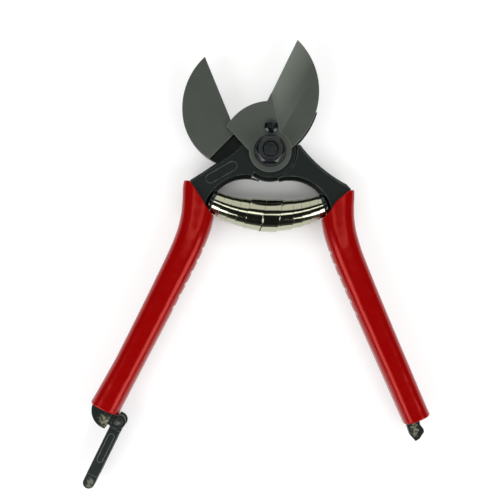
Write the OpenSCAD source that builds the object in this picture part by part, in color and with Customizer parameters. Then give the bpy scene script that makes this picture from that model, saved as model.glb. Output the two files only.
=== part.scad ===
// Double-cut pruning shears: two forged handles cross in a bolted half-lap joint.
//
// The shears lie on their back, held open by the spring: X to the right, Y towards the
// blade tips, Z towards the viewer. The origin is where the pivot axis meets the plane
// that the shears rest on.
//
// Each half is drawn as it is with the shears shut, its cutting edge and its handle
// parallel to Y, and is then turned about the pivot into the open pose. The left half
// is the handle on the left with the blade that it carries, which leans to the right.
// Handle shapes are drawn on the +X side and mirrored for the left half.

/* [Opening] */
// Angle between the two cutting edges when the spring holds the shears open
open_angle = 48.4; // [44:0.2:50]
// How far the edges pass each other before the closing stop, in degrees
over_close = 2.1; // [1:0.1:3]

/* [Pivot] */
// Diameter of the pivot bolt's shank
bolt_d = 8; // [7:0.5:9]
// Width across flats of the pivot bolt's low head
bolt_head_af = 13; // [12:0.5:14]
// Thickness of the pivot bolt's low head
bolt_head_h = 3.6; // [3:0.1:5]
// Radial running clearance of the right handle on the bolt
bore_gap = 0.05; // [0.02:0.01:0.1]
// Outer diameter of the dished washer under the bolt head
dished_washer_d = 17; // [14:0.5:20]
// Thickness of the dished washer
dished_washer_h = 1.4; // [1:0.1:2]
// Outer diameter of the flat washer under the nut
washer_d = 16.4; // [15:0.2:18]
// Thickness of the flat washer under the nut
washer_h = 1.6; // [1:0.1:2]
// Width across flats of the lock nut
nut_af = 13; // [12:0.5:14]
// Height of the lock nut's hexagon
nut_h = 5.6; // [5:0.1:7]
// Height of the lock nut's round collar
collar_h = 2.2; // [1.6:0.1:3]
// Diameter of the lock nut's round collar
collar_d = 11.6; // [11.4:0.1:12]

/* [Forged handles] */
// Thickness of each half of the lap joint
lap_h = 4; // [3.5:0.1:5]
// Diameter of the left handle's head, in the front lap
left_disc_d = 27.4; // [26.8:0.2:27.8]
// Diameter of the right handle's head, in the rear lap
right_disc_d = 30.4; // [29.6:0.2:31]
// Clearance round the heads and at the stops
lap_gap = 0.3; // [0.2:0.05:0.4]
// Radius of the arch in both handles' inner sides
arch_r = 19.9; // [19.6:0.1:20.2]
// Width of the chamfers along the arch
arch_chamfer = 2; // [1:0.1:2.2]
// Width of the chamfers along the arms' outer edges
arm_chamfer = 1; // [0.4:0.1:1.2]
// Width of the chamfers round the heads
head_chamfer = 0.5; // [0.3:0.1:0.8]
// Width of the steel tang in each grip
tang_w = 9; // [7:0.5:10]
// Distance of the tang's middle from the pivot, across the handle
tang_x = 16.3; // [15.8:0.1:16.8]
// Length of the recess in the left arm's face
cartouche_l = 17.6; // [12:0.2:19]
// Width of the recess in the left arm's face
cartouche_w = 4.6; // [3:0.1:5.4]
// Depth of the recess in the left arm's face
cartouche_h = 0.5; // [0.3:0.1:1]

/* [Blades] */
// Distance of both cutting edges from the pivot
edge_x = 12.5; // [11.8:0.1:13]
// Distance of the blade tips from the pivot, along the edge
tip_y = 57.6; // [55:0.2:60]
// Thickness of the cutting blade's hub
cutting_h = 3; // [2.6:0.1:3.6]
// Thickness of the cutting blade's back, behind its hollow grind
spine_h = 2.5; // [2:0.1:2.6]
// Thickness left at both cutting edges
edge_h = 0.3; // [0.2:0.05:0.5]
// Radius of the grinding wheel that hollows the cutting blade
grind_r = 200; // [150:10:400]
// Diameter of the ring round the pivot on the cutting blade
ring_d = 21.8; // [20:0.2:22.4]
// Distance of the cutting blade's heel from the pivot
heel_r = 25.4; // [25:0.2:27]
// Width of the bevel behind the counter blade's edge
bevel_w = 8.6; // [6:0.2:9]
// Thread diameter of the screws that hold the blades
screw_d = 4; // [3:0.5:4]
// Head diameter of the cutting blade's screw
screw_head_d = 6.8; // [6:0.2:7.2]
// Head height of the cutting blade's screw
screw_head_h = 2.2; // [1.6:0.1:3]

/* [Spring] */
// Distance of the spring's seats below the pivot, with the shears shut
seat_y = 36; // [35.5:0.1:37]
// Largest outer diameter of the spring, at its middle
coil_d = 17; // [15:0.2:17.6]
// Width of the spring's steel strip
strip_w = 8.4; // [7:0.2:9]
// Thickness of the spring's steel strip
strip_h = 0.42; // [0.36:0.02:0.46]
// Gap between one turn of the strip and the next, which nests in it
strip_gap = 0.08; // [0.06:0.01:0.1]
// Distance between turns along the spring
pitch = 4.6; // [4.2:0.1:5]
// Turns of the strip on each side of the spring's middle
side_turns = 6; // [5.5:0.25:6.25]

/* [Spring pegs] */
// Diameter of the peg's collar that the spring stands on
peg_collar_d = 11.6; // [11:0.2:12.6]
// Thickness of the peg's collar
peg_collar_h = 1.7; // [1:0.1:2.2]
// Diameter of the peg's nose inside the spring
peg_nose_d = 7.4; // [6:0.2:8]
// Length of the peg's nose
peg_nose_l = 6; // [4:0.5:8]
// Diameter of the peg's shank in the arm
peg_shank_d = 4.6; // [3.6:0.2:5]
// Length of the peg's shank
peg_shank_l = 5; // [4:0.5:6]

/* [Grips] */
// Distance of the grips' lower ends from the pivot
grip_end_y = 156; // [150:1:160]
// Depth of the grips, front to back
grip_depth = 18; // [16:0.5:18]
// Number of finger grooves across the inner side of each grip
groove_count = 6; // [3:1:7]
// Depth of the finger grooves
groove_h = 0.6; // [0.3:0.1:0.8]

/* [Catch] */
// Distance from the catch's rivet to its tip
catch_l = 38.2; // [36:0.2:42]
// Width of the catch
catch_w = 6.1; // [5.6:0.1:6.4]
// Thickness of each of the catch's two plates
catch_plate_h = 1.5; // [1.2:0.1:1.7]
// Distance from the rivet to the catch's hook face
hook_l = 28.5; // [28.3:0.1:29]
// Diameter of the catch's rivet
rivet_d = 3; // [2.6:0.1:3.4]
// Clearance between the catch and the steel beside it
catch_gap = 0.15; // [0.1:0.05:0.2]

/* [Hidden] */

$fn = 96;
far = 400;  // larger than the shears
bite = 1;   // how far a cutter runs past the face that it cuts
chamfer_run = 0.1;  // and a chamfering one, on both sides

// Heights of the layers, from the rest plane up
rear_z = bolt_head_h + dished_washer_h;
split_z = rear_z + lap_h;
front_z = split_z + lap_h;
mid_z = split_z;
hub_z = front_z + cutting_h;
nut_z = hub_z + washer_h;

// Pivot
fit = 0.02;  // radial clearance of pieces that sit tight on each other
bolt_r = bolt_d / 2;
nut_turn = 22;  // the nut came to rest with its corners to the sides
lock_ring_wall = 1.2;
lock_ring_h = collar_h - 0.4;
bolt_end_z = nut_z + nut_h + collar_h - 0.5;
bolt_chamfer = 0.6;
nut_chamfer = 0.8;

// Laps. The ear of the left head stops the opening on the right arm's shoulder.
left_disc_r = left_disc_d / 2;
right_disc_r = right_disc_d / 2;
ear_proud = 0.8;
ear_angle = 39.8;
ear_tip = [12.4, 28.4];
ear_shoulder = [1, 24];
ear_heel = [-9.6, 19.4];
ear_reach = 9;
ear_low_angle = 150;
stop_gap_angle = lap_gap / 2 / left_disc_r * 180 / PI;
// Under the heads, the left arm's rear lap and the right arm's front lap reach further
// past the middle than the other two, which end clear of them when shut
lap_long_x = -1.5;

// Arms, on the +X side
left_root = [13.4, -0.9];
right_root = [15.6, -2.2];
arm_corner = [30.1, -30.7];
arm_side = [31, -33.6];
arm_neck_out = [27.4, -42];
arm_neck_in = [14.2, -42];
left_edge_r = 318;
right_edge_r = 70;
arch_shift = 3.5;
arch_y = -36;
lap_short_x = -lap_long_x + (norm([arch_shift, arch_y]) - arch_r) * sin(over_close)
    + 2 * lap_gap;
neck_end_y = -56;
cartouche_at = [-17.7, -20.6];
cartouche_dir = 55.7;

// Cutting blade
leaf_centre = [-24.5, 22.3];
leaf_r = norm([-edge_x, tip_y] - leaf_centre);
ring_r = ring_d / 2;
heel_low = [-26.5, 1.9];
heel_root = [-10.2, -4.5];
grind_top = [-10.2, 23.9];
grind_low = [-1.96, 13.7];
dimple_at = [-11, 21.4];
dimple_d = 1.3;
dimple_h = 0.6;
screw_at = [-4.95, 11.4];

// Counter blade
back_split_y = 32;
back_top_centre = [-0.1, 23.9];
back_top_r = norm([-edge_x, tip_y] - back_top_centre);
back_split = [back_top_centre.x
    - sqrt(pow(back_top_r, 2) - pow(back_split_y - back_top_centre.y, 2)), back_split_y];
back_low_centre = [-6.9, 25.4];
back_low_r = norm(back_split - back_low_centre);
plate_out = [-29.3, 8.8];
plate_in = [-14.8, 14.9];
lug_corner = [-28.6, 5.8];
lug_r = 6.4;
lug_inner = [-edge_x - 0.4, 17.6];
lug_shoulder = [-6, 13.6];
lug_screws = [[-29, 16], [-29.3, 30]];
countersink_d = 7.6;
countersink_h = 2;
thread_depth = 2.6;
// Where a line from the lug's corner touches the right head, as an angle
lug_angle = atan2(lug_corner.y, lug_corner.x) + acos(right_disc_r / norm(lug_corner));

// Spring. It bows in an arc that meets both seats squarely in the open pose.
seat_at = [arch_r - arch_shift + 0.1, -seat_y];
seat_gap = 0.4;
room_slope = 0.16;
spring_end = turned(seat_at - [peg_collar_h, 0], open_angle / 2);
spring_arc_r = spring_end.x / sin(open_angle / 2);
spring_arc_y = spring_end.y + spring_arc_r * cos(open_angle / 2);
spring_half_l = spring_arc_r * open_angle / 2 * PI / 180 - 0.1;
spring_r = coil_d / 2 - strip_h / 2;
turn_step = strip_h + strip_gap;
centre_pitch = strip_w + 0.2;
centre_turns = 0.75;
segments = 24;

// Grips, on the +X side. Each station is the distance down the handle, and how far the
// grip reaches inwards and outwards from the middle of the tang.
grip_stations = [
    [29, 0.8, 18.1],
    [36, 3.1, 16.1],
    [43, 5.1, 13],
    [50, 6.6, 10.5],
    [58, 7.4, 8.9],
    [70, 7.7, 8.1],
    [100, 7.1, 8],
    [grip_end_y - 26, 6.3, 8.3],
    [grip_end_y - 6, 5.8, 8.7],
    [grip_end_y + 4, 5.6, 9.1]
];
grip_fill = [0.66, 0.72, 0.8, 0.89, 0.97, 1, 1, 1, 1, 1];  // depth at the stations
grip_steps = 4;     // loft sections between two stations
grip_points = 36;   // points round a section
grip_power = 2.7;   // 2 is an ellipse, more is squarer
flare_l = 26;       // the grips' outer sides flare over this length, to their ends
left_flare = 1;
right_flare = -0.3;
left_mouth = [[40, -32.6], [33.3, -32.6], [30.8, -31.7], [27.2, -33.3]];
right_mouth = [[40, -34.6], [32.4, -34.5], [30.6, -34], [26.2, -35]];
groove_from_y = 60;
groove_pitch = 6.8;
groove_r = 1.5;
groove_w = 9;
mouth_low = [[21.8, -36.5], [15.2, -40.6], [11.5, -42.2], [0, -42.2]];

// Tang ends and catch
tang_end_y = -grip_end_y;
end_gap = 0.2;
knuckle_r = 3.7;
rivet_in = 7.5;  // from the tang's middle towards the other handle
rivet_at = [rivet_in - tang_x, tang_end_y - 2.8];
knuckle_step_x = rivet_at.x - rivet_d / 2;
lobe_centre = [tang_x - 1.3, tang_end_y + 0.7];
lobe_r = 9.7;
lobe_in_x = tang_x - 2.7;
lobe_h = 10;
slot_h = 2 * lap_h - 2 * catch_plate_h;
tongue_r = 3.3;
catch_root_y = -knuckle_r - 0.6;
catch_root_l = 3;
hook_w = 2.2;
tab_h = 2 * lap_h - 2;
catch_recess = [-8.5, -21.5];
catch_recess_w = 3;
catch_recess_h = 0.6;
rivet_head_d = 5.4;
rivet_head_h = 0.9;
stub = [[-4.5, 2], [-4.5, 0], [-4.8, -6.6], [-3.5, -10.4], [-1.1, -10], [2.4, -7.6],
    [2.7, -6.2], [1.9, -3.4], [2.5, -0.6], [2.7, 2]];  // from the middle of the tang

// Colours
forged = [0.12, 0.15, 0.14];
ground = [0.33, 0.35, 0.32];
black = [0.05, 0.05, 0.06];
nickel = [0.75, 0.74, 0.68];
red = [0.7, 0.02, 0.03];
worn = [0.2, 0.21, 0.2];

// ---- helpers ----

function polar(r, a) = [r * cos(a), r * sin(a)];

function turned(p, a) = [p.x * cos(a) - p.y * sin(a), p.x * sin(a) + p.y * cos(a)];

// Centre of the circle of radius r through p and q, on the left of the way from p to q
function arc_centre(p, q, r) =
    (p + q) / 2
    + [p.y - q.y, q.x - p.x] / norm(q - p) * sqrt(r * r - pow(norm(q - p) / 2, 2));

// A smooth curve through b and c, with a and d as its neighbours
function through(a, b, c, d, t) =
    0.5 * (2 * b + (c - a) * t + (2 * a - 5 * b + 4 * c - d) * t * t
        + (3 * b - 3 * c + d - a) * t * t * t);

module layer(from_z, to_z) {
    translate([0, 0, from_z]) linear_extrude(to_z - from_z) children();
}

module left_half() {
    rotate(-open_angle / 2) children();
}

module right_half() {
    rotate(open_angle / 2) children();
}

module mirrored() {
    mirror([1, 0, 0]) children();
}

module stadium(p, q, r) {
    translate(p) circle(r);
    translate(q) circle(r);
    translate(p) rotate(atan2(q.y - p.y, q.x - p.x)) translate([0, -r])
        square([norm(q - p), 2 * r]);
}

module ring(outer_r, inner_r, h) {
    difference() {
        cylinder(r = outer_r, h = h);
        translate([0, 0, -bite]) cylinder(r = inner_r, h = h + 2 * bite);
    }
}

module hexagon(across_flats) {
    circle(r = across_flats / sqrt(3), $fn = 6);
}

// A solid skin over rings of points, with flat ends
module skin(rings) {
    n = len(rings);
    m = len(rings[0]);
    sides = [for (i = [0 : n - 2], j = [0 : m - 1], k = [0, 1])
        k == 0 ? [i * m + j, i * m + (j + 1) % m, (i + 1) * m + (j + 1) % m]
            : [i * m + j, (i + 1) * m + (j + 1) % m, (i + 1) * m + j]];
    ends = [[for (j = [m - 1 : -1 : 0]) j], [for (j = [0 : m - 1]) (n - 1) * m + j]];
    polyhedron(points = [for (r = rings) each r], faces = concat(sides, ends),
        convexity = 10);
}

// ---- handles ----

// Outline of an arm and its tang, on the +X side, from from_x outwards
module arm_outline(root, edge_r, end_y, from_x) {
    difference() {
        polygon([[from_x, 0], root, arm_corner, arm_side, arm_neck_out,
            [tang_x + tang_w / 2, neck_end_y], [tang_x + tang_w / 2, end_y],
            [tang_x - tang_w / 2, end_y], [tang_x - tang_w / 2, neck_end_y],
            arm_neck_in, [from_x, arch_y]]);
        translate([-arch_shift, arch_y]) circle(arch_r);
        translate(arc_centre(root, arm_corner, edge_r)) circle(edge_r);
    }
}

module left_arm_outline(from_x) {
    mirror([1, 0]) arm_outline(left_root, left_edge_r, tang_end_y - 1, from_x);
}

module right_arm_outline(from_x, end_y = tang_end_y) {
    arm_outline(right_root, right_edge_r, end_y, from_x);
}

// The ear carries the cutting blade's back. Its left flank stops the closing.
module left_ear_outline() {
    difference() {
        intersection() {
            translate(leaf_centre) circle(leaf_r + ear_proud);
            polygon([[0, 0], polar(2 * left_disc_r, ear_angle), ear_tip + [2, 0],
                ear_tip, ear_shoulder, ear_heel - [ear_reach, 0],
                [-left_disc_r - ear_reach, 0]]);
        }
        rotate(-over_close) translate([-far - edge_x + lap_gap / 2, 0])
            square([far, far]);
        rotate(ear_low_angle) square([far, far]);
    }
}

// Chamfers the top of what is drawn round a round hole of radius r
module rim_cut(r, chamfer) {
    translate([0, 0, -chamfer - chamfer_run])
        cylinder(r1 = r - chamfer_run, r2 = r + chamfer + chamfer_run,
            h = chamfer + 2 * chamfer_run);
}

// An arm's edges along the arch and along its outer side, at the front and at the back
module arm_edges_cut(root, edge_r) {
    edge_centre = arc_centre(root, arm_corner, edge_r);
    for (side = [[front_z, 0], [rear_z, 1]]) translate([0, 0, side[0]])
        mirror([0, 0, side[1]]) {
            translate([-arch_shift, arch_y]) rim_cut(arch_r, arch_chamfer);
            translate(edge_centre) rim_cut(edge_r, arm_chamfer);
        }
}

// A head from one height to another, chamfered at the second
module head(r, from_z, to_z) {
    up = sign(to_z - from_z);
    rotate_extrude() polygon([[0, from_z], [r, from_z], [r, to_z - up * head_chamfer],
        [r - head_chamfer, to_z], [0, to_z]]);
}

// The left arm's rear lap starts clear of the right head and of its lug
module left_rear_outline() {
    intersection() {
        left_arm_outline(lap_long_x);
        rotate(lug_angle + open_angle) translate([right_disc_r + lap_gap, -far])
            square([far, 2 * far]);
    }
}

// The lug carries the counter blade
module lug_outline() {
    intersection() {
        translate(back_low_centre) circle(back_low_r);
        union() {
            stadium(lug_screws[0], lug_screws[1], lug_r);
            polygon([[0, 0], polar(right_disc_r, lug_angle), lug_corner,
                lug_corner + (lug_corner - polar(right_disc_r, lug_angle)) / 2,
                lug_screws[0] - [lug_r + 4, 0], lug_screws[0] + [lug_r, 0], lug_inner,
                lug_shoulder]);
        }
    }
}

// The right arm's front lap starts at the shoulder where the left ear stops
module right_front_outline() {
    difference() {
        right_arm_outline(lap_long_x);
        circle(left_disc_r + lap_gap);
        rotate(ear_angle - open_angle - stop_gap_angle) square([far, far]);
    }
}

// Places a child on the right arm's spring seat, its z axis into the arm
module on_seat() {
    translate([seat_at.x, seat_at.y, mid_z]) rotate([0, 90, 0]) children();
}

// What an arm loses to the spring: a flat seat for the peg's collar and its bore
module seat_cut() {
    on_seat() {
        translate([0, 0, -seat_at.x]) cylinder(r = peg_collar_d / 2 + seat_gap, h = seat_at.x);
        cylinder(r = peg_shank_d / 2 + fit, h = peg_shank_l + 0.5);
    }
}

// The cheeks beside the catch stay below the grip's end
module knuckle_outline() {
    difference() {
        stadium(rivet_at, [-lobe_in_x - 1, rivet_at.y], knuckle_r);
        translate([knuckle_step_x - far, tang_end_y - end_gap]) square([far, far]);
    }
}

// The rounded end of the left tang, with the two cheeks that hold the catch
module left_tang_end() {
    difference() {
        union() {
            mirrored() layer(mid_z - lobe_h / 2, mid_z + lobe_h / 2) intersection() {
                translate(lobe_centre) circle(lobe_r);
                translate([lobe_in_x, tang_end_y - end_gap - far]) square([far, far]);
            }
            layer(rear_z, front_z) knuckle_outline();
        }
        layer(mid_z - slot_h / 2, mid_z + slot_h / 2) {
            translate([-lobe_in_x, tang_end_y - far]) square([far, far]);
            translate([knuckle_step_x, tang_end_y - far]) square([far, 2 * far]);
        }
        translate([rivet_at.x, rivet_at.y, 0]) cylinder(r = rivet_d / 2 + fit, h = far);
    }
}

module left_handle() {
    color(forged) left_half() difference() {
        union() {
            head(left_disc_r, split_z, front_z);
            layer(split_z, front_z) left_ear_outline();
            difference() {
                union() {
                    layer(split_z, front_z) left_arm_outline(lap_short_x);
                    layer(rear_z, split_z) left_rear_outline();
                }
                mirrored() arm_edges_cut(left_root, left_edge_r);
            }
            left_tang_end();
        }
        cylinder(r = bolt_r + fit, h = far);
        translate([screw_at.x, screw_at.y, split_z - bite])
            cylinder(r = screw_d / 2 + fit, h = far);
        mirrored() seat_cut();
        layer(front_z - cartouche_h, front_z + bite)
            translate(cartouche_at) rotate(cartouche_dir)
                stadium([-(cartouche_l - cartouche_w) / 2, 0],
                    [(cartouche_l - cartouche_w) / 2, 0], cartouche_w / 2);
    }
}

module stub_outline() {
    translate([tang_x, tang_end_y]) polygon(stub);
}

module right_handle() {
    color(forged) right_half() difference() {
        union() {
            head(right_disc_r, split_z, rear_z);
            layer(rear_z, split_z) lug_outline();
            difference() {
                union() {
                    layer(rear_z, split_z) right_arm_outline(lap_short_x);
                    layer(split_z, front_z) right_front_outline();
                }
                arm_edges_cut(right_root, right_edge_r);
            }
            layer(mid_z - slot_h / 2 + 2 * catch_gap, mid_z + slot_h / 2 - 2 * catch_gap)
                stub_outline();
        }
        cylinder(r = bolt_r + bore_gap, h = far);
        seat_cut();
        for (at = lug_screws) translate([at.x, at.y, rear_z - bite]) {
            cylinder(r = screw_d / 2 + fit, h = far);
            cylinder(r = countersink_d / 2 + fit, h = bite);
            translate([0, 0, bite]) cylinder(r1 = countersink_d / 2 + fit,
                r2 = screw_d / 2 + fit, h = countersink_h);
        }
    }
}

// ---- blades ----

module cutting_outline() {
    difference() {
        union() {
            circle(ring_r);
            intersection() {
                translate(leaf_centre) circle(leaf_r);
                translate([-edge_x, ring_r / 2]) square([far, far]);
            }
            intersection() {
                circle(heel_r);
                polygon([[0, 0], heel_root, heel_low, 2 * heel_low - heel_root,
                    [-2 * heel_r, 2 * heel_r], [-edge_x, 2 * heel_r],
                    [-edge_x, ring_r], [0, ring_r]]);
            }
        }
        circle(bolt_r + fit);
        translate(screw_at) circle(screw_d / 2 + fit);
    }
}

// The part of the cutting blade that the wheel grinds: all of the leaf beside the hub
module ground_outline() {
    difference() {
        translate([-edge_x - bite, 0]) square([far, far]);
        circle(ring_r);
        polygon([[0, 0], 1.3 * grind_low - 0.3 * grind_top,
            4 * grind_top - 3 * grind_low, [-far, far], [-far, 0]]);
    }
}

module cutting_blade() {
    edge = [-edge_x, front_z + edge_h];
    spine = [leaf_centre.x + leaf_r, front_z + spine_h];
    wheel = arc_centre(edge, spine, grind_r);
    color(ground) left_half() difference() {
        layer(front_z, hub_z) cutting_outline();
        intersection() {
            layer(front_z - bite, hub_z + bite) ground_outline();
            translate([wheel.x, far / 2, wheel.y]) rotate([90, 0, 0])
                cylinder(r = grind_r, h = far, $fn = 720);
        }
        translate([dimple_at.x, dimple_at.y, hub_z - dimple_h])
            cylinder(d = dimple_d, h = far);
    }
}

module counter_outline() {
    intersection() {
        union() {
            intersection() {
                translate(back_top_centre) circle(back_top_r);
                translate([-far, back_split_y]) square([far - edge_x, far]);
            }
            intersection() {
                translate(back_low_centre) circle(back_low_r);
                translate([-far, 0]) square([far - edge_x, back_split_y]);
            }
        }
        polygon([2 * plate_out - plate_in, 2 * plate_in - plate_out, [far, far],
            [-far, far]]);
    }
}

module counter_blade() {
    color(ground) right_half() difference() {
        layer(split_z, front_z) counter_outline();
        translate([-edge_x, 0, front_z - edge_h]) rotate([-90, 0, 0])
            linear_extrude(far) polygon([[1, 0], [0, 0], [-bevel_w, lap_h - edge_h],
                [-bevel_w, lap_h], [1, lap_h]]);
        for (at = lug_screws) translate([at.x, at.y, split_z - bite])
            cylinder(r = screw_d / 2 + fit, h = bite + thread_depth + 0.3);
    }
}

// Pan head with a cross recess
module cutting_blade_screw() {
    color(black) left_half() translate([screw_at.x, screw_at.y, 0]) difference() {
        union() {
            translate([0, 0, split_z + 0.4])
                cylinder(r = screw_d / 2, h = hub_z - split_z);
            translate([0, 0, hub_z]) intersection() {
                cylinder(d = screw_head_d, h = screw_head_h);
                translate([0, 0, screw_head_h - screw_head_d])
                    sphere(r = screw_head_d);
            }
        }
        for (a = [0, 90]) rotate(a + 45)
            translate([0, 0, hub_z + screw_head_h / 2])
                layer(0, screw_head_h) square([screw_head_d * 0.62, 0.9], center = true);
    }
}

// Countersunk screws, driven into blind holes in the counter blade from behind
module counter_blade_screws() {
    color(black) right_half() for (at = lug_screws) translate([at.x, at.y, rear_z])
        difference() {
            union() {
                cylinder(r1 = countersink_d / 2, r2 = screw_d / 2, h = countersink_h);
                cylinder(r = screw_d / 2, h = lap_h + thread_depth);
            }
            translate([0, 0, -bite]) layer(0, bite + 1.2) hexagon(2.5);
        }
}

// ---- pivot ----

// A hexagon of height h, its corners rounded off at the top
module chamfered_hexagon(across_flats, h) {
    corner_r = across_flats / sqrt(3);
    intersection() {
        linear_extrude(h) hexagon(across_flats);
        rotate_extrude() polygon([[0, 0], [corner_r, 0], [corner_r, h - nut_chamfer],
            [across_flats / 2 - 0.3, h], [0, h]]);
    }
}

module pivot_bolt() {
    color(black) left_half() {
        translate([0, 0, bolt_head_h]) rotate(nut_turn) mirror([0, 0, 1])
            chamfered_hexagon(bolt_head_af, bolt_head_h);
        rotate_extrude() polygon([[0, bite], [bolt_r, bite],
            [bolt_r, bolt_end_z - bolt_chamfer],
            [bolt_r - bolt_chamfer, bolt_end_z], [0, bolt_end_z]]);
    }
}

// Dished towards its rim, so it keeps the lap joint tight
module dished_washer() {
    inner_r = bolt_r + bore_gap;
    rim_r = dished_washer_d / 2;
    color(black) left_half() translate([0, 0, bolt_head_h]) rotate_extrude()
        polygon([[inner_r, 0], [rim_r - 1.4, 0], [rim_r, dished_washer_h * 0.4],
            [rim_r, dished_washer_h], [inner_r + 1.6, dished_washer_h],
            [inner_r, dished_washer_h * 0.75]]);
}

module nut_washer() {
    color(black) left_half() translate([0, 0, hub_z])
        ring(washer_d / 2, bolt_r + fit, washer_h);
}

module pivot_nut() {
    collar_r = collar_d / 2;
    color(black) left_half() translate([0, 0, nut_z]) rotate(nut_turn) difference() {
        union() {
            chamfered_hexagon(nut_af, nut_h);
            cylinder(r = collar_r, h = nut_h + collar_h - 0.6);
            translate([0, 0, nut_h + collar_h - 0.6])
                cylinder(r1 = collar_r, r2 = collar_r - 0.6, h = 0.6);
        }
        translate([0, 0, -bite]) cylinder(r = bolt_r + fit, h = far);
        translate([0, 0, nut_h + 0.1])
            cylinder(r = bolt_r + lock_ring_wall + fit, h = far);
    }
}

module nut_lock_ring() {
    color("darkslateblue") left_half() translate([0, 0, nut_z + nut_h + 0.1])
        ring(bolt_r + lock_ring_wall, bolt_r + fit, lock_ring_h);
}

// ---- spring ----

// Distance along the spring, from its middle, after t turns
function strip_at(t) =
    let (lead = min(abs(t), centre_turns) * centre_pitch,
        rest = max(abs(t) - centre_turns, 0) * pitch)
    sign(t) * min(lead + rest, spring_half_l - strip_w / 2);

// Radius of the strip after t turns: it steps in once beside the middle turn, then winds
// in steadily, so that each turn nests in the one before it
function strip_r(t) =
    let (step = min(max(abs(t) - 0.5, 0) / (centre_turns - 0.5), 1),
        wound = max(abs(t) - centre_turns, 0))
    spring_r - turn_step * (step + wound);

function strip_point(t, along, r) =
    let (across = spring_arc_r + r * cos(360 * t),
        angle = -90 + along / spring_arc_r * 180 / PI)
    [across * cos(angle), spring_arc_y + across * sin(angle), mid_z + r * sin(360 * t)];

function strip_ring(t) = [for (c = [[-1, -1], [-1, 1], [1, 1], [1, -1]])
    strip_point(t, strip_at(t) + c[0] * strip_w / 2, strip_r(t) + c[1] * strip_h / 2)];

module volute_spring() {
    color(nickel) skin([for (i = [-side_turns * segments : side_turns * segments])
        strip_ring(i / segments)]);
}

// Turned peg: a shank in the arm, a collar for the spring's end and a nose inside it
module spring_peg() {
    color(black) on_seat() rotate_extrude() polygon([
        [0, -peg_collar_h - peg_nose_l], [peg_nose_d / 2 - 1, -peg_collar_h - peg_nose_l],
        [peg_nose_d / 2, -peg_collar_h - peg_nose_l + 1.4],
        [peg_nose_d / 2, -peg_collar_h], [peg_collar_d / 2, -peg_collar_h],
        [peg_collar_d / 2, 0], [peg_shank_d / 2, 0], [peg_shank_d / 2, peg_shank_l],
        [0, peg_shank_l]]);
}

module left_spring_peg() {
    left_half() mirrored() spring_peg();
}

module right_spring_peg() {
    right_half() spring_peg();
}

// ---- grips ----

function station(i) = grip_stations[min(max(i, 0), len(grip_stations) - 1)];

function grip_section(s) =
    let (i = floor(s))
    through(station(i - 1), station(i), station(i + 1), station(i + 2), s - i);

function fill(i) = grip_fill[min(max(i, 0), len(grip_fill) - 1)];

function grip_depth_at(s) =
    let (i = floor(s))
    grip_depth * through(fill(i - 1), fill(i), fill(i + 1), fill(i + 2), s - i);

function rounded(v) = sign(v) * pow(abs(v), 2 / grip_power);

function grip_ring(s, flare) = [for (j = [0 : grip_points - 1])
    let (a = 360 * j / grip_points,
        q = grip_section(s),
        out_w = q[2] + flare * max(0, q[0] - grip_end_y + flare_l) / flare_l)
    [tang_x + (out_w - q[1]) / 2 + (out_w + q[1]) / 2 * rounded(cos(a)), -q[0],
        mid_z + grip_depth_at(s) / 2 * rounded(sin(a))]];

module grip_body(flare) {
    last = (len(grip_stations) - 1) * grip_steps;
    intersection() {
        skin([for (i = [0 : last]) grip_ring(i / grip_steps, flare)]);
        translate([0, -grip_end_y, -far]) cube([far, far, 2 * far]);
    }
}

// Short grooves that keep the fingers from sliding
module grooves_cut() {
    for (i = [0 : groove_count - 1]) {
        down = groove_from_y + i * groove_pitch;
        reach = lookup(down, [for (s = grip_stations) [s[0], s[1]]]);
        translate([tang_x - reach + groove_h - groove_r, -down, mid_z - groove_w / 2])
            cylinder(r = groove_r, h = groove_w);
    }
}

// The sleeve's mouth runs slantwise across the arm
module mouth_cut(top) {
    layer(-far, far) polygon(concat(top, mouth_low, [[0, 0], [top[0].x, 0]]));
}

// Room for the spring, which bows and widens away from its seat
module spring_room() {
    seat_r = peg_collar_d / 2 + seat_gap;
    on_seat() translate([0, 0, -seat_at.x])
        cylinder(r1 = seat_r + room_slope * seat_at.x, r2 = seat_r, h = seat_at.x);
}

module left_grip() {
    color(red) left_half() difference() {
        mirrored() grip_body(left_flare);
        mirrored() grooves_cut();
        mirrored() mouth_cut(left_mouth);
        mirrored() spring_room();
        layer(rear_z, front_z) left_arm_outline(0);
    }
}

module right_grip() {
    color(red) right_half() difference() {
        grip_body(right_flare);
        grooves_cut();
        mouth_cut(right_mouth);
        spring_room();
        layer(rear_z, front_z) right_arm_outline(0, tang_end_y - bite);
    }
}

// ---- catch ----

// Two plates joined by a root and a hook, so the right tang's end can pass between them
module catch_outline() {
    difference() {
        stadium([0, 0], [0, -catch_l + catch_w / 2], catch_w / 2);
        translate([-far / 2, catch_root_y]) square([far, far]);
    }
}

module catch_lever() {
    color(worn) left_half() translate([rivet_at.x, rivet_at.y, 0]) difference() {
        union() {
            layer(rear_z, front_z) difference() {
                catch_outline();
                translate([-far / 2, -hook_l - hook_w - far]) square([far, far]);
            }
            layer(mid_z - tab_h / 2, mid_z + tab_h / 2) intersection() {
                catch_outline();
                translate([-far / 2, -hook_l - hook_w - far]) square([far, far]);
            }
            layer(mid_z - slot_h / 2 + catch_gap, mid_z + slot_h / 2 - catch_gap)
                stadium([0, 0], [0, catch_root_y - 1], tongue_r - catch_gap);
        }
        layer(mid_z - slot_h / 2, mid_z + slot_h / 2)
            translate([-far / 2, -hook_l])
                square([far, hook_l + catch_root_y - catch_root_l]);
        layer(front_z - catch_recess_h, front_z + bite)
            stadium([0, catch_recess[0]], [0, catch_recess[1]], catch_recess_w / 2);
        cylinder(r = rivet_d / 2 + bore_gap, h = far);
    }
}

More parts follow.
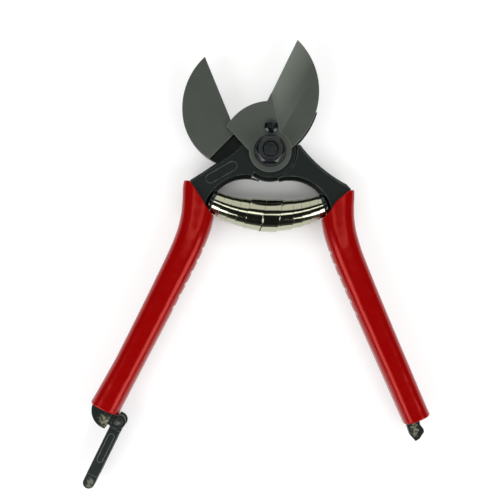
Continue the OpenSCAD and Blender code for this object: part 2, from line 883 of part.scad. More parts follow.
module catch_rivet() {
    color(worn) left_half() translate([rivet_at.x, rivet_at.y, 0]) {
        translate([0, 0, rear_z]) cylinder(d = rivet_d, h = front_z - rear_z);
        translate([0, 0, front_z]) cylinder(r1 = rivet_head_d / 2,
            r2 = rivet_head_d / 2 - 0.6, h = rivet_head_h);
        translate([0, 0, rear_z - rivet_head_h]) cylinder(r1 = rivet_head_d / 2 - 0.6,
            r2 = rivet_head_d / 2, h = rivet_head_h);
    }
}

left_handle();
right_handle();
cutting_blade();
counter_blade();
cutting_blade_screw();
counter_blade_screws();
pivot_bolt();
dished_washer();
nut_washer();
pivot_nut();
nut_lock_ring();
volute_spring();
left_spring_peg();
right_spring_peg();
left_grip();
right_grip();
catch_lever();
catch_rivet();
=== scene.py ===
import math

import bmesh
import bpy
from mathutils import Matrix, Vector


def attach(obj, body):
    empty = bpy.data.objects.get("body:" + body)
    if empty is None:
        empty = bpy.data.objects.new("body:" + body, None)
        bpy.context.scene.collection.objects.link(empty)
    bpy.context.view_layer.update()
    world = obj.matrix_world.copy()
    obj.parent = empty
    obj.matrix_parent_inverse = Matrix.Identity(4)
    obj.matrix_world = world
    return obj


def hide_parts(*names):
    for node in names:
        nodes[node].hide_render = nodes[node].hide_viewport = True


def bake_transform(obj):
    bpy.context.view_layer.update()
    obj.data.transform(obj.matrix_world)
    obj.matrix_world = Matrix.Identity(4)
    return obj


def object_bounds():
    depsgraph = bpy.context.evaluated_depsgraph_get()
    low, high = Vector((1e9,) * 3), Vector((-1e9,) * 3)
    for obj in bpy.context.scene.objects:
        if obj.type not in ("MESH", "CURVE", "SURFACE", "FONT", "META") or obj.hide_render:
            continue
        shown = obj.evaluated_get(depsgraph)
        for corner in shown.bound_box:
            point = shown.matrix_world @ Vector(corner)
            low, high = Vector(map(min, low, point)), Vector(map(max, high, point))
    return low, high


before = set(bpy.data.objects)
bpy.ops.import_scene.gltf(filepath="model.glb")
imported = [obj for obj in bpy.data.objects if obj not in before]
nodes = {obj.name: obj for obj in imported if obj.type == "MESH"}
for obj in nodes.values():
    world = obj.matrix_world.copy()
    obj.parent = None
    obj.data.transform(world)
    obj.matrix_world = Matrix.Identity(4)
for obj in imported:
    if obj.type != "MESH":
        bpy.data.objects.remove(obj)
cad_low, cad_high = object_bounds()
MM = 0.001

# ---- sizes that part.scad also holds, in millimetres and degrees ----

OPEN = 48.4            # angle between the cutting edges
MID_Z = 9.0            # middle of the lap joint
GRIP_END_Y = 156.0     # distance down the handle of the grips' lower ends
GRIP_DEPTH = 18.0      # the grips' full depth
TANG_X = 16.3          # middle of a tang, in the frame of its own half
FLARE_L = 26.0         # length over which a grip's outer side flares to its end
GRIP_POWER = 2.7       # how square the grips' section is: 2 would be an ellipse


def turned(x, y, degrees):
    """A point turned about the pivot."""
    c, s = math.cos(math.radians(degrees)), math.sin(math.radians(degrees))
    return x * c - y * s, x * s + y * c


# ---- camera, in millimetres and degrees ----

VIEW_Z = 12.0          # height of the forgings' front
VIEW_W = 257.0         # width of the view at that height
VIEW_D = 450.0         # the camera's height over it
VIEW_AT = (-8.6, -50.95)
VIEW_ROLL = 1.9
SENSOR_W = 36

camera_data = bpy.data.cameras.new("camera")
camera_data.sensor_width = SENSOR_W
camera_data.lens = SENSOR_W * VIEW_D / VIEW_W
camera_data.clip_start, camera_data.clip_end = 0.01, 20
camera = bpy.data.objects.new("camera", camera_data)
camera.location = (VIEW_AT[0] * MM, VIEW_AT[1] * MM, (VIEW_Z + VIEW_D) * MM)
camera.rotation_euler = (0, 0, math.radians(VIEW_ROLL))
bpy.context.scene.collection.objects.link(camera)
bpy.context.scene.camera = camera
bpy.context.scene.view_settings.view_transform = "Standard"


# ---- node helpers ----


def put(tree, kind, inputs=None, **settings):
    """Adds a shader node; an input is a value, or an output to link."""
    made = tree.nodes.new(kind)
    for key, value in settings.items():
        setattr(made, key, value)
    for key, value in (inputs or {}).items():
        if isinstance(value, bpy.types.NodeSocket):
            tree.links.new(value, made.inputs[key])
        else:
            made.inputs[key].default_value = value
    return made


def math_node(tree, operation, *values, clamp=False):
    """The result of a sum, product or the like of values and outputs."""
    return put(tree, "ShaderNodeMath", dict(enumerate(values)), operation=operation,
               use_clamp=clamp).outputs[0]


def place(tree, scale, rotation=(0, 0, 0)):
    """The surface's place in the frame, turned and then scaled for a texture."""
    coords = put(tree, "ShaderNodeTexCoord").outputs["Object"]
    turned_coords = put(tree, "ShaderNodeMapping", {
        "Vector": coords, "Rotation": rotation}).outputs[0]
    return put(tree, "ShaderNodeMapping", {"Vector": turned_coords, "Scale": scale}).outputs[0]


def along(tree, direction, rotation=(0, 0, 0)):
    """How far the surface lies along a direction of the turned frame, in millimetres."""
    return put(tree, "ShaderNodeVectorMath", {0: place(tree, (1 / MM,) * 3, rotation),
                                              1: direction},
               operation="DOT_PRODUCT").outputs["Value"]


def noise(tree, scale, detail, rotation=(0, 0, 0)):
    """Cloudy noise; scale is one number, or one a direction, in cells a metre."""
    if not isinstance(scale, tuple):
        scale = (scale,) * 3
    return put(tree, "ShaderNodeTexNoise", {
        "Vector": place(tree, scale, rotation), "Scale": 1.0, "Detail": detail,
        "Roughness": 0.5}).outputs[0]


def ramp(tree, value, low, high, to_low=0.0, to_high=1.0):
    """A value between low and high, spread from to_low to to_high and held outside."""
    return put(tree, "ShaderNodeMapRange", {
        0: value, 1: low, 2: high, 3: to_low, 4: to_high}).outputs[0]


def mix(tree, share, a, b):
    """Colour a, or b where share is 1; either is a colour or an output."""
    made = put(tree, "ShaderNodeMix", {0: share}, data_type="RGBA")
    for socket, value in ((made.inputs[6], a), (made.inputs[7], b)):
        if isinstance(value, bpy.types.NodeSocket):
            tree.links.new(value, socket)
        else:
            socket.default_value = (*value, 1)
    return made.outputs[2]


def lies_flat(tree):
    """1 where the surface lies flat and 0 where it stands on edge."""
    normal = put(tree, "ShaderNodeNewGeometry").outputs["True Normal"]
    return math_node(tree, "ABSOLUTE",
                     put(tree, "ShaderNodeSeparateXYZ", {0: normal}).outputs["Z"])


def edge_mask(tree, radius, low=0.01, high=0.08):
    """1 on edges, which take wear and painted highlights: where the surface turns within the
    radius, in metres.

    low and high are where the wear starts and is full, as 1 less the turn's cosine.
    """
    soft = put(tree, "ShaderNodeBevel", {"Radius": radius}, samples=6).outputs[0]
    true = put(tree, "ShaderNodeNewGeometry").outputs["True Normal"]
    cosine = put(tree, "ShaderNodeVectorMath", {0: soft, 1: true},
                 operation="DOT_PRODUCT").outputs["Value"]
    return ramp(tree, math_node(tree, "SUBTRACT", 1.0, cosine), low, high)


def rubbed_patch(tree, spots):
    """1 on ragged patches of the flat faces, each at x, y with its radius in millimetres."""
    total = 0.0
    ragged = ramp(tree, noise(tree, 700, 5), *NARROW_BAND, -0.45, 0.45)
    for x, y, r in spots:
        near = put(tree, "ShaderNodeVectorMath", {
            0: place(tree, (1 / (r * MM), 1 / (r * MM), 0)), 1: (x / r, y / r, 0)},
            operation="DISTANCE").outputs["Value"]
        near = math_node(tree, "ADD", near, ragged)
        total = math_node(tree, "ADD", total, ramp(tree, near, 0.3, 1.15, 1.0, 0.0))
    flat = math_node(tree, "GREATER_THAN", lies_flat(tree), 0.5)
    return math_node(tree, "MULTIPLY", total, flat, clamp=True)


def new_material(name):
    """A material with its node tree and its shader."""
    made = bpy.data.materials.new(name)
    made.use_nodes = True
    tree = made.node_tree
    return made, tree, tree.nodes["Principled BSDF"]


def finish_of(tree, shader, inputs):
    """Sets a shader's inputs, each a value or an output to link."""
    for key, value in inputs.items():
        if isinstance(value, bpy.types.NodeSocket):
            tree.links.new(value, shader.inputs[key])
        else:
            shader.inputs[key].default_value = value


def bump(tree, height, distance, strength=1.0, normal=None):
    """A bumpy normal, distance metres high, on top of a normal if there is one."""
    inputs = {"Height": height, "Distance": distance, "Strength": strength}
    if normal is not None:
        inputs["Normal"] = normal
    return put(tree, "ShaderNodeBump", inputs).outputs[0]


# ---- materials ----

# Where handling has rubbed the enamel off: x, y and radius in millimetres
TANG_WEAR = [(-80.0, -140.6, 2.9), (-79.0, -144.2, 1.6), (79.0, -139.5, 2.0),
             (79.6, -142.4, 1.9)]
CATCH_WEAR = [(-73.3, -141.4, 1.2), (-87.3, -174.4, 1.6), (-86.3, -172.3, 1.7)]

# Colours: the enamel on the top flats; painted shade, deep black, on its sloping faces and on
# faces near the lap's middle;
# its edges, lighter from wear and from a painted highlight; bare metal on the tangs and on the
# catch; and the blades' steel on their faces, and on their edges as a painted highlight
FLAT_DARK, FLAT_LIGHT = (0.0045, 0.009, 0.0072), (0.008, 0.0135, 0.0115)
# painted shade: deep black for sloping faces and for faces near the lap's middle, where shade
# falls
PAINTED_SHADE = (0.0008, 0.0018, 0.0016)
# forging edges, lighter grey: partly wear, partly a painted highlight
WORN_AND_LIT_EDGE = (0.15, 0.17, 0.155)
BARE_DARK, BARE_LIGHT = (0.03, 0.035, 0.025), (0.3, 0.3, 0.2)
BARE_CATCH = (0.13, 0.14, 0.105)
STEEL = (0.88, 0.99, 0.86)
# a painted highlight on the blades' edges
STEEL_EDGE_HIGHLIGHT = (0.3, 0.33, 0.29)

NOISE_BAND = (0.3, 0.7)             # most of a noise's values lie in it
NARROW_BAND = (0.35, 0.65)          # for patches with firmer outlines
UNSHADED_FROM, UNSHADED_BY = 0.5, 3     # heights off the lap's middle over which the painted shade of low faces gives way to the flats' colour
EDGE_X = 12.5                       # the cutting edges' distance from the middle
GRIND_ACROSS, GRIND_FROM = (0.778, 0.629, 0), 7.1   # the side of the grind line
GRIND_SOFT = 0.2                    # half the width over which the grind starts


def forged_steel():
    """Black enamel over a forging: faint orange peel, painted shade in deep black on sloping
    faces and on faces near the lap's middle, and edges of a dull grey, partly wear and partly a
    painted highlight."""
    made, tree, shader = new_material("forged_steel")
    peel = noise(tree, 420, 4)
    cloud = noise(tree, 60, 4)
    # worn: lighter edges, partly wear and partly a painted highlight
    worn = math_node(tree, "MULTIPLY", edge_mask(tree, 0.0005, 0.005, 0.05),
                     ramp(tree, noise(tree, 300, 5), 0.35, 0.7, 0.3, 1.0))
    from_middle = math_node(tree, "ABSOLUTE", math_node(
        tree, "SUBTRACT", along(tree, (0, 0, 1)), MID_Z))
    # 1 on flat faces well off the lap's middle; everywhere else the enamel gets the painted shade
    unshaded = math_node(tree, "MULTIPLY", ramp(tree, lies_flat(tree), 0.85, 0.98),
                       ramp(tree, from_middle, UNSHADED_FROM, UNSHADED_BY))
    flat = mix(tree, cloud, FLAT_DARK, FLAT_LIGHT)
    colour = mix(tree, unshaded, PAINTED_SHADE, flat)
    bare = rubbed_patch(tree, TANG_WEAR)
    bright = mix(tree, ramp(tree, noise(tree, 900, 3), *NARROW_BAND), BARE_DARK, BARE_LIGHT)
    finish_of(tree, shader, {
        "Base Color": mix(tree, bare, mix(tree, worn, colour, WORN_AND_LIT_EDGE), bright),
        "Metallic": math_node(tree, "MULTIPLY", bare, 0.3),
        "Roughness": ramp(tree, cloud, *NOISE_BAND, 0.33, 0.46),
        "Specular IOR Level": 0.2,
        "Normal": bump(tree, peel, 0.00006, 0.6),
    })
    return made


def blade_steel(name, side, light, dark, light_to, dark_from):
    """Ground steel: fine scratches along the blade, and painted shading, lighter towards the
    cutting edge as the hollow grind catches the light.

    The steel's brightness is light up to light_to millimetres from that edge, and dark
    from dark_from on.
    """
    made, tree, shader = new_material(name)
    turn = (0, 0, -side * math.radians(OPEN / 2))
    streaks = noise(tree, (9000, 160, 160), 3, turn)
    cloud = noise(tree, 70, 4)
    across = math_node(tree, "ADD", along(tree, (-side, 0, 0), turn), EDGE_X)
    # painted shading: lighter by the cutting edge, where the hollow grind catches the light,
    # darker towards the spine
    share = ramp(tree, across, light_to, dark_from, 1.0, 0.0)
    if side < 0:        # the cutting blade is ground on one side of a line by its hub
        past = along(tree, GRIND_ACROSS, turn)
        share = math_node(tree, "MULTIPLY", share,
                          ramp(tree, past, GRIND_FROM - GRIND_SOFT, GRIND_FROM + GRIND_SOFT))
    tone = math_node(tree, "ADD", math_node(tree, "MULTIPLY", streaks, 0.25),
                     math_node(tree, "MULTIPLY", cloud, 0.25))
    tone = math_node(tree, "ADD", tone, 0.75)
    ground = mix(tree, share, tuple(dark * c for c in STEEL), tuple(light * c for c in STEEL))
    toned = put(tree, "ShaderNodeVectorMath", {0: ground, "Scale": tone},
                operation="SCALE").outputs[0]
    finish_of(tree, shader, {
        # the edges are lighter: a painted highlight
        "Base Color": mix(tree, edge_mask(tree, 0.0004), toned, STEEL_EDGE_HIGHLIGHT),
        "Metallic": 0.7,
        "Roughness": ramp(tree, streaks, *NOISE_BAND, 0.48, 0.58),
        "Normal": bump(tree, streaks, 0.000012, 0.5),
    })
    return made


def plain(name, colour, roughness, metallic=0.0, spread=0.25, grain=400, depth=0.00003,
          worn=None, worn_radius=0.0003, gloss=None, level=0.5, spots=(), ripple=0.0):
    """A finish with cloudy tone, uneven gloss and a faint grain, worn on edges and spots.

    gloss tints its shine, and ripple is the height of wide soft ripples, in metres.
    """
    made, tree, shader = new_material(name)
    cloud = noise(tree, 90, 4)
    fine = noise(tree, grain, 4)
    ripples = bump(tree, noise(tree, 110, 1), ripple) if ripple else None
    dark = tuple(c * (1 - spread) for c in colour)
    light = tuple(c * (1 + spread) for c in colour)
    base = mix(tree, cloud, dark, light)
    if worn is not None:
        base = mix(tree, edge_mask(tree, worn_radius), base, worn)
    if spots:
        base = mix(tree, rubbed_patch(tree, spots), base, BARE_CATCH)
    finish_of(tree, shader, {
        "Base Color": base,
        "Metallic": metallic,
        "Roughness": ramp(tree, fine, *NOISE_BAND, roughness * 0.85, roughness * 1.2),
        "Normal": bump(tree, fine, depth, 0.5, ripples),
        "Specular IOR Level": level,
    })
    if gloss is not None:
        shader.inputs["Specular Tint"].default_value = (*gloss, 1)
    return made


FORGED = forged_steel()
CUTTING = blade_steel("cutting_blade_steel", -1, 0.25, 0.115, 2, 13)
COUNTER = blade_steel("counter_blade_steel", 1, 0.125, 0.105, 0, 14)
BLACK = plain("black_fastener", (0.002, 0.0045, 0.005), 0.16, worn=(0.03, 0.035, 0.035))
NYLON = plain("lock_ring", (0.006, 0.009, 0.0095), 0.5)
NICKEL = plain("spring_steel", (0.46, 0.47, 0.35), 0.1, metallic=1.0, spread=0.05,
               grain=900, depth=0.000006)
GRIP = plain("grip", (0.262, 0.0005, 0.0008), 0.2, spread=0.08, grain=260, depth=0.00002,
             gloss=(1, 0.17, 0.14), level=0.9, ripple=0.0003)
WORN = plain("catch_steel", (0.0075, 0.0115, 0.0105), 0.34, metallic=0.25,
             worn=(0.16, 0.18, 0.155), worn_radius=0.0006, spots=CATCH_WEAR)

LOOKS = {
    "left_handle": FORGED, "right_handle": FORGED, "cutting_blade": CUTTING,
    "counter_blade": COUNTER, "cutting_blade_screw": BLACK, "counter_blade_screws": BLACK,
    "pivot_bolt": BLACK, "dished_washer": BLACK, "nut_washer": BLACK, "pivot_nut": BLACK,
    "nut_lock_ring": NYLON, "volute_spring": NICKEL, "left_spring_peg": BLACK,
    "right_spring_peg": BLACK, "left_grip": GRIP, "right_grip": GRIP,
    "catch_lever": WORN, "catch_rivet": WORN,
}
# Radii of the rounded edges, in millimetres
BEVELS = {
    "left_handle": 0.25, "right_handle": 0.25, "cutting_blade": 0.12, "counter_blade": 0.12,
    "cutting_blade_screw": 0.2, "counter_blade_screws": 0.15, "pivot_bolt": 0.3,
    "dished_washer": 0.2, "nut_washer": 0.3, "pivot_nut": 0.25, "catch_lever": 0.4,
    "catch_rivet": 0.3, "left_spring_peg": 0.2, "right_spring_peg": 0.2,
}
SAME_PLACE = 1e-6      # in metres: points nearer than this are one
FLAT_WITHIN = 0.6      # degrees under which neighbouring faces are one face
SHARP_FROM = 28        # degrees from which an edge is rounded


def dress(piece, look):
    """Gives a piece one material."""
    piece.data.materials.clear()
    piece.data.materials.append(look)


def round_edges(piece, width):
    """Rounds a node's sharp edges with modifiers, which leave its own mesh alone."""
    weld = piece.modifiers.new("weld", "WELD")
    weld.merge_threshold = SAME_PLACE
    flat = piece.modifiers.new("flat", "DECIMATE")
    flat.decimate_type = "DISSOLVE"
    flat.angle_limit = math.radians(FLAT_WITHIN)
    bevel = piece.modifiers.new("bevel", "BEVEL")
    bevel.width = width * MM
    bevel.segments = 3
    bevel.limit_method = "ANGLE"
    bevel.angle_limit = math.radians(SHARP_FROM)
    bevel.harden_normals = False
    bevel.use_clamp_overlap = True


# ---- moulded and wound pieces ----


def as_piece(name, points, faces, look, sharp=40):
    """A smooth-shaded piece from points in millimetres, sharp where its faces turn."""
    mesh = bpy.data.meshes.new(name)
    mesh.from_pydata([Vector(p) * MM for p in points], [], faces)
    mesh.update()
    mesh.polygons.foreach_set("use_smooth", [True] * len(mesh.polygons))
    mesh.set_sharp_from_angle(angle=math.radians(sharp))
    piece = bpy.data.objects.new(name, mesh)
    bpy.context.scene.collection.objects.link(piece)
    dress(piece, look)
    return piece


def loft(rings, closed=False):
    """Points and faces of a skin over rings of points; closed joins the last to the first."""
    count, around = len(rings), len(rings[0])
    faces = []
    for i in range(count if closed else count - 1):
        for j in range(around):
            k, m = (j + 1) % around, (i + 1) % count
            faces.append((i * around + j, i * around + k, m * around + k, m * around + j))
    if not closed:
        faces.append(tuple(range(around - 1, -1, -1)))
        faces.append(tuple((count - 1) * around + j for j in range(around)))
    return [p for ring in rings for p in ring], faces


# Stations of a grip, in the frame of its own half: distance down the handle, reach
# inwards and outwards from the middle of the tang, share of the full depth
STATIONS = [
    (29, 0.8, 18.1, 0.66), (36, 3.1, 16.1, 0.72), (43, 5.1, 13, 0.8), (50, 6.6, 10.5, 0.89),
    (58, 7.4, 8.9, 0.97), (70, 7.7, 8.1, 1), (100, 7.1, 8, 1),
    (GRIP_END_Y - 26, 6.3, 8.3, 1), (GRIP_END_Y - 6, 5.8, 8.7, 1), (GRIP_END_Y + 4, 5.6, 9.1, 1),
]
# The grips' oblique mouths from the outside in, as x and y: the left one and the right one
MOUTH_LOW = [(21.8, -36.5), (15.2, -40.6), (11.5, -42.2), (0, -42.2)]
MOUTH = {
    -1: [(40, -32.6), (33.3, -32.6), (30.8, -31.7), (27.2, -33.3)] + MOUTH_LOW,
    1: [(40, -34.6), (32.4, -34.5), (30.6, -34), (26.2, -35)] + MOUTH_LOW,
}
MOUTH_SPAN = (29.0, 60.0)   # distances down the handle between which the mouths lie
GRIP_AROUND = 96       # points around a grip
GRIP_ROWS = 280        # rows of points down a grip
LIP_R = 0.6            # radius of the rounded rims
LIP_TURNS = [math.radians(18 * k) for k in range(6)]
LIP_W = 3.3            # width of the mouth's rim, from the skin to the tang
TANG_HALF_W, TANG_HALF_H = 4.4, 3.9
TANG_POWER = 8         # how square that hole is
HOLE_FROM = 62         # distance down the handle from which the hole fits the tang
GROOVES = [60 + 6.8 * k for k in range(6)]     # their distances down the handle
GROOVE_R, GROOVE_H, GROOVE_W = 1.5, 0.6, 9.0
SLEEVES = {-1: "left_grip", 1: "right_grip"}


def station(down):
    """The grip's reach inwards, outwards and its depth, at a distance down the handle."""
    last = len(STATIONS) - 1
    i = max(k for k in range(last) if STATIONS[k][0] <= max(down, STATIONS[0][0]))
    a, b, c, d = (STATIONS[min(max(k, 0), last)] for k in (i - 1, i, i + 1, i + 2))

    def curve(k, t):
        return 0.5 * (2 * b[k] + (c[k] - a[k]) * t
                      + (2 * a[k] - 5 * b[k] + 4 * c[k] - d[k]) * t * t
                      + (3 * b[k] - 3 * c[k] + d[k] - a[k]) * t ** 3)

    low, high = 0.0, 1.0
    for _ in range(30):
        middle = (low + high) / 2
        low, high = (middle, high) if curve(0, middle) < down else (low, middle)
    return [curve(k, low) for k in (1, 2, 3)]


def rounded(v, power=GRIP_POWER):
    """The cosine or sine of an angle, changed to run around a rounded square."""
    return math.copysign(abs(v) ** (2 / power), v)


def mouth_y(x, side):
    """The mouth's y at an x."""
    line = MOUTH[side]
    for (x1, y1), (x0, y0) in zip(line, line[1:]):
        if x0 <= x <= x1:
            return y0 + (y1 - y0) * (x - x0) / (x1 - x0)
    return line[0][1]


def grip_point(down, angle, flare, inset=0.0):
    """A point of the grip's skin, moved inwards by an inset."""
    inward, outward, depth = station(down)
    outward += flare * max(0, down - GRIP_END_Y + FLARE_L) / FLARE_L
    half_w = (inward + outward) / 2
    half_h = depth * GRIP_DEPTH / 2
    c, s = rounded(math.cos(angle)), rounded(math.sin(angle))
    x, z = half_w * c, half_h * s
    if inset:
        slope = Vector((abs(c) ** (GRIP_POWER - 1) / half_w, abs(s) ** (GRIP_POWER - 1) / half_h))
        slope.normalize()
        x -= math.copysign(slope.x * inset, c)
        z -= math.copysign(slope.y * inset, s)
    x += TANG_X + (outward - inward) / 2
    if abs(z) < GROOVE_W / 2 and c < 0:
        for groove in GROOVES:      # the grooves' round floors
            if abs(down - groove) < GROOVE_R:
                floor_x = TANG_X - station(groove)[0] + GROOVE_H - GROOVE_R
                x = max(x, floor_x + math.sqrt(GROOVE_R ** 2 - (down - groove) ** 2))
    return Vector((x, -down, MID_Z + z))


def start_of(angle, flare, side):
    """How far down the handle the mouth lies on this line of the skin."""
    low, high = MOUTH_SPAN
    for _ in range(30):
        middle = (low + high) / 2
        inside = -middle < mouth_y(grip_point(middle, angle, flare).x, side)
        low, high = (low, middle) if inside else (middle, high)
    return high


def tang_point(down, angle):
    """A point of the hole that holds the tang."""
    return Vector((TANG_X + TANG_HALF_W * rounded(math.cos(angle), TANG_POWER), -down,
                   MID_Z + TANG_HALF_H * rounded(math.sin(angle), TANG_POWER)))


def rim(angles, starts, flare, way):
    """Rings from the skin round to the end face; way is 1 at the mouth and -1 at the end."""
    return [[grip_point(d + way * LIP_R * (1 - math.sin(turn)), a, flare,
                        LIP_R * (1 - math.cos(turn))) for a, d in zip(angles, starts)]
            for turn in LIP_TURNS]


def build_grip(name, flare, side, body):
    """A sleeve with a rounded mouth and end; side is -1 on the left and 1 on the right."""
    angles = [2 * math.pi * j / GRIP_AROUND for j in range(GRIP_AROUND)]
    starts = [start_of(a, flare, side) for a in angles]
    rings = rim(angles, starts, flare, 1)[::-1]
    mouth_inner = []
    for a, d in zip(angles, starts):
        p = grip_point(d, a, flare, LIP_W)
        p.z = MID_Z + max(-TANG_HALF_H, min(TANG_HALF_H, p.z - MID_Z))
        mouth_inner.append(p)
    rings.insert(0, mouth_inner)
    for i in range(1, GRIP_ROWS):
        share = i / GRIP_ROWS
        rings.append([grip_point(d + LIP_R + (GRIP_END_Y - d - 2 * LIP_R) * share, a, flare)
                      for a, d in zip(angles, starts)])
    rings += rim(angles, [GRIP_END_Y] * GRIP_AROUND, flare, -1)
    rings.append([tang_point(GRIP_END_Y, a) for a in angles])
    rings.append([tang_point(HOLE_FROM, a) for a in angles])
    points, faces = loft(rings, closed=True)
    turn = side * OPEN / 2
    points = [(*turned(side * p[0], p[1], turn), p[2]) for p in points]
    if side > 0:
        faces = [tuple(reversed(f)) for f in faces]
    piece = as_piece(name, points, faces, GRIP)
    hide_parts(SLEEVES[side])
    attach(piece, body)


# The spring: a strip wound from its middle to both ends, each turn nested in the last.
# Its ends sit on the pegs' collars, in the frame of each half; t counts turns from the
# middle, to the right where it is positive.
SEAT_X, SEAT_Y = 16.5, -36.0
COLLAR_H = 1.7
SEAT_GAP = 0.1
LEAN = math.tan(math.radians(2.5))
LEAN_FROM, LEAN_OVER = 0.25, 0.5    # in turns: the lean starts after, and grows over
STRIP_W, STRIP_H = 8.4, 0.42
PITCH = 4.6            # how far along the arc a turn goes
CENTRE_PITCH, CENTRE_TURNS = 8.6, 0.75     # and the first part of the first turn
SPRING_R = 8.29        # radius of the strip's middle in the widest turn
WIDE_TURNS = 0.5       # turns each way that keep that radius
TURN_STEP = 0.5        # how much narrower each further turn is
SIDE_TURNS = 6
SEAM = 0.75            # share of a turn at which the strip passes underneath
STEPS = 72             # rings of points a turn
END_X, END_Y = turned(SEAT_X - COLLAR_H, SEAT_Y, OPEN / 2)
ARC_R = END_X / math.sin(math.radians(OPEN / 2))
ARC_Y = END_Y + ARC_R * math.cos(math.radians(OPEN / 2))
HALF_L = ARC_R * math.radians(OPEN / 2) - SEAT_GAP
STRIP_SECTION = [(-1, -0.6), (-1, 0.6), (-0.96, 1), (0.96, 1), (1, 0.6), (1, -0.6),
                 (0.96, -1), (-0.96, -1)]


def strip_at(t):
    """How far along the spring's arc the strip's middle is after t turns."""
    lead = min(abs(t), CENTRE_TURNS) * CENTRE_PITCH
    rest = max(abs(t) - CENTRE_TURNS, 0) * PITCH
    return math.copysign(min(lead + rest, HALF_L - STRIP_W / 2), t)


def strip_r(t):
    """The radius of the strip's middle after t turns."""
    step = min(max(abs(t) - WIDE_TURNS, 0) / (CENTRE_TURNS - WIDE_TURNS), 1)
    return SPRING_R - TURN_STEP * (step + max(abs(t) - CENTRE_TURNS, 0))


def strip_lean(t):
    """How the strip slopes towards the spring's ends, where it nests in itself."""
    return math.copysign(LEAN * min(max(abs(t) - LEAN_FROM, 0) / LEAN_OVER, 1), t)


def strip_ring(t):
    """The strip's section after t turns, straight across as rolled strip is."""
    angle = -math.pi / 2 + strip_at(t) / ARC_R
    outward = Vector((math.cos(angle), math.sin(angle), 0))
    forward = Vector((-math.sin(angle), math.cos(angle), 0))
    centre = Vector((0, ARC_Y, MID_Z)) + outward * ARC_R
    winding = 2 * math.pi * t
    ray = outward * math.cos(winding) + Vector((0, 0, math.sin(winding)))
    return [centre + forward * (u * STRIP_W / 2)
            + ray * (strip_r(t) + v * STRIP_H / 2 - strip_lean(t) * u * STRIP_W / 2)
            for u, v in STRIP_SECTION]


def build_spring():
    """One piece a turn, in place of the spring's node, which it hides."""
    seams = [k + SEAM for k in range(1 - SIDE_TURNS, SIDE_TURNS - 1)]
    turns = list(zip([-SIDE_TURNS] + seams, seams + [SIDE_TURNS]))
    for i, (a, b) in enumerate(turns):
        steps = max(2, round((b - a) * STEPS))
        points, faces = loft([strip_ring(a + (b - a) * k / steps) for k in range(steps + 1)])
        piece = as_piece(f"spring_turn_{i + 1:02d}", points, faces, NICKEL, sharp=15)
        hold_share(piece)
        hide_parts("volute_spring")


def hold_share(piece):
    """Bakes the piece's place into its mesh."""
    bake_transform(piece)


LEFT_FLARE, RIGHT_FLARE = 1.0, -0.3    # how much wider each grip's end is
for name, look in LOOKS.items():
    dress(nodes[name], look)
build_grip("left_sleeve", LEFT_FLARE, -1, "left_half")
build_grip("right_sleeve", RIGHT_FLARE, 1, "right_half")
build_spring()
for name, width in BEVELS.items():
    round_edges(nodes[name], width)


# ---- studio ----

FLOOR_HALF_W = 3.0     # metres, as all lengths below, unless a note says millimetres
FLOOR_GAP = 0.0003     # between the object and the floor
FLOOR_TONE = 0.93
FLOOR_WHITE = 1.16     # strength of the glow that shows plain white
FLOOR_GLOW = 0.5       # share of that glow in the floor around the object
FLOOR_FAR = (0.25, 0.6)    # distances between which the share grows to 1
WINDOW_GLOW = 0.0      # the share between the spring and the forgings
WINDOW_Y = -22         # millimetres
WINDOW_SCALE = (1 / 0.034, 1 / 0.02, 1)    # one over the half widths of that window
WINDOW_EDGE = (0.8, 1.6)   # in half widths, where its share turns into the floor's
ROOM_LIGHT = 0.35      # the room's light on matt surfaces
WALL_LIGHT = 0.15      # the walls and the ceiling, as glossy surfaces see them
CEILING_LIGHT = 0.012
WALL_TOP, CEILING = 0.0, 0.4       # sines of the elevations between which it darkens
MIDDLE = (0, -0.03, 0)     # what the back wall and the highlights' lamps aim at


def add_lamp(name, at, to, size, power, colour=(1, 1, 1)):
    """A rectangular lamp of a size in metres and a power in watts."""
    data = bpy.data.lights.new(name, "AREA")
    data.shape = "RECTANGLE"
    data.size, data.size_y = size
    data.energy = power
    data.color = colour
    lamp = bpy.data.objects.new(name, data)
    lamp.location = at
    lamp.rotation_euler = (Vector(to) - Vector(at)).to_track_quat("-Z", "Y").to_euler()
    bpy.context.scene.collection.objects.link(lamp)
    return lamp


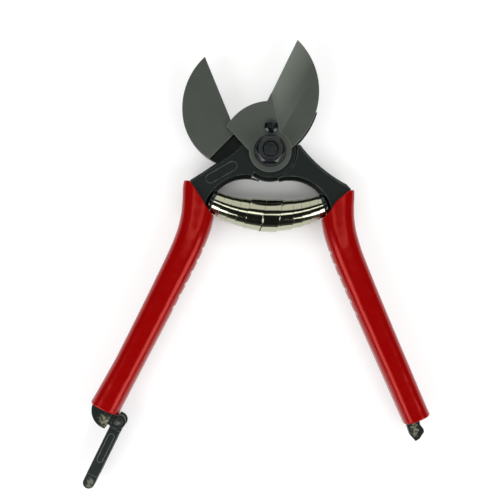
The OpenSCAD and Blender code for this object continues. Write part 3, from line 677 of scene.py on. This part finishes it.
def make_floor():
    """A floor that takes soft shadows, shows white far off, and isn't seen from below."""
    mesh = bpy.data.meshes.new("floor")
    form = bmesh.new()
    bmesh.ops.create_grid(form, x_segments=1, y_segments=1, size=FLOOR_HALF_W)
    form.to_mesh(mesh)
    form.free()
    floor = bpy.data.objects.new("floor", mesh)
    floor.location = (0, 0, cad_low.z - FLOOR_GAP)
    bpy.context.scene.collection.objects.link(floor)
    made, tree, shader = new_material("floor")
    finish_of(tree, shader, {"Base Color": (FLOOR_TONE, FLOOR_TONE, FLOOR_TONE, 1),
                             "Roughness": 0.9, "Specular IOR Level": 0.0})
    seen = put(tree, "ShaderNodeLightPath").outputs
    direct = math_node(tree, "MAXIMUM", seen["Is Camera Ray"], seen["Is Transmission Ray"])
    direct = math_node(tree, "MAXIMUM", direct, seen["Is Glossy Ray"])
    white = put(tree, "ShaderNodeEmission", {"Color": (1, 1, 1, 1), "Strength": FLOOR_WHITE})
    away = put(tree, "ShaderNodeVectorMath", {
        0: place(tree, WINDOW_SCALE), 1: (0, WINDOW_Y * WINDOW_SCALE[1] * MM, 0)},
        operation="DISTANCE").outputs["Value"]
    glow = ramp(tree, away, *WINDOW_EDGE, WINDOW_GLOW, FLOOR_GLOW)
    apart = put(tree, "ShaderNodeVectorMath", {0: place(tree, (1, 1, 1))},
                operation="LENGTH").outputs["Value"]
    glow = math_node(tree, "ADD", glow, ramp(tree, apart, *FLOOR_FAR), clamp=True)
    blend = put(tree, "ShaderNodeMixShader", {
        0: math_node(tree, "MULTIPLY", direct, glow), 1: shader.outputs[0],
        2: white.outputs[0]})
    one_sided = put(tree, "ShaderNodeMixShader", {
        0: put(tree, "ShaderNodeNewGeometry").outputs["Backfacing"], 1: blend.outputs[0],
        2: put(tree, "ShaderNodeBsdfTransparent").outputs[0]})
    tree.links.new(one_sided.outputs[0], tree.nodes["Material Output"].inputs["Surface"])
    mesh.materials.append(made)


def make_world():
    """A white room with a dark ceiling, which only glossy surfaces see."""
    world = bpy.data.worlds.new("studio")
    bpy.context.scene.world = world
    world.use_nodes = True
    tree = world.node_tree
    sky = tree.nodes["Background"]
    sky.inputs["Color"].default_value = (1, 1, 1, 1)
    seen = put(tree, "ShaderNodeLightPath").outputs
    up = put(tree, "ShaderNodeSeparateXYZ", {
        0: put(tree, "ShaderNodeTexCoord").outputs["Generated"]}).outputs["Z"]
    room = ramp(tree, up, WALL_TOP, CEILING, WALL_LIGHT, CEILING_LIGHT)
    plain_light = ramp(tree, seen["Is Camera Ray"], 0, 1, ROOM_LIGHT, 1.0)
    glossy = seen["Is Glossy Ray"]
    strength = math_node(tree, "ADD",
                         math_node(tree, "MULTIPLY", glossy, room),
                         math_node(tree, "MULTIPLY", math_node(tree, "SUBTRACT", 1.0, glossy),
                                   plain_light))
    tree.links.new(strength, sky.inputs["Strength"])


make_floor()
make_world()
add_lamp("back_wall", (0.0, 0.68, 0.42), MIDDLE, (1.3, 0.78), 3.0, (1, 0.99, 0.95))
for side in (-1, 1):        # the left one of each pair, then the right one
    add_lamp(f"highlight_{side}", (side * 0.085 + 0.01, 0.05, 0.5), MIDDLE, (0.075, 0.2), 0.11)
    add_lamp(f"side_{side}", (side * 0.46, -0.4, 0.48), (side * -0.056, -0.085, 0),
             (0.5, 0.45), 2.9)
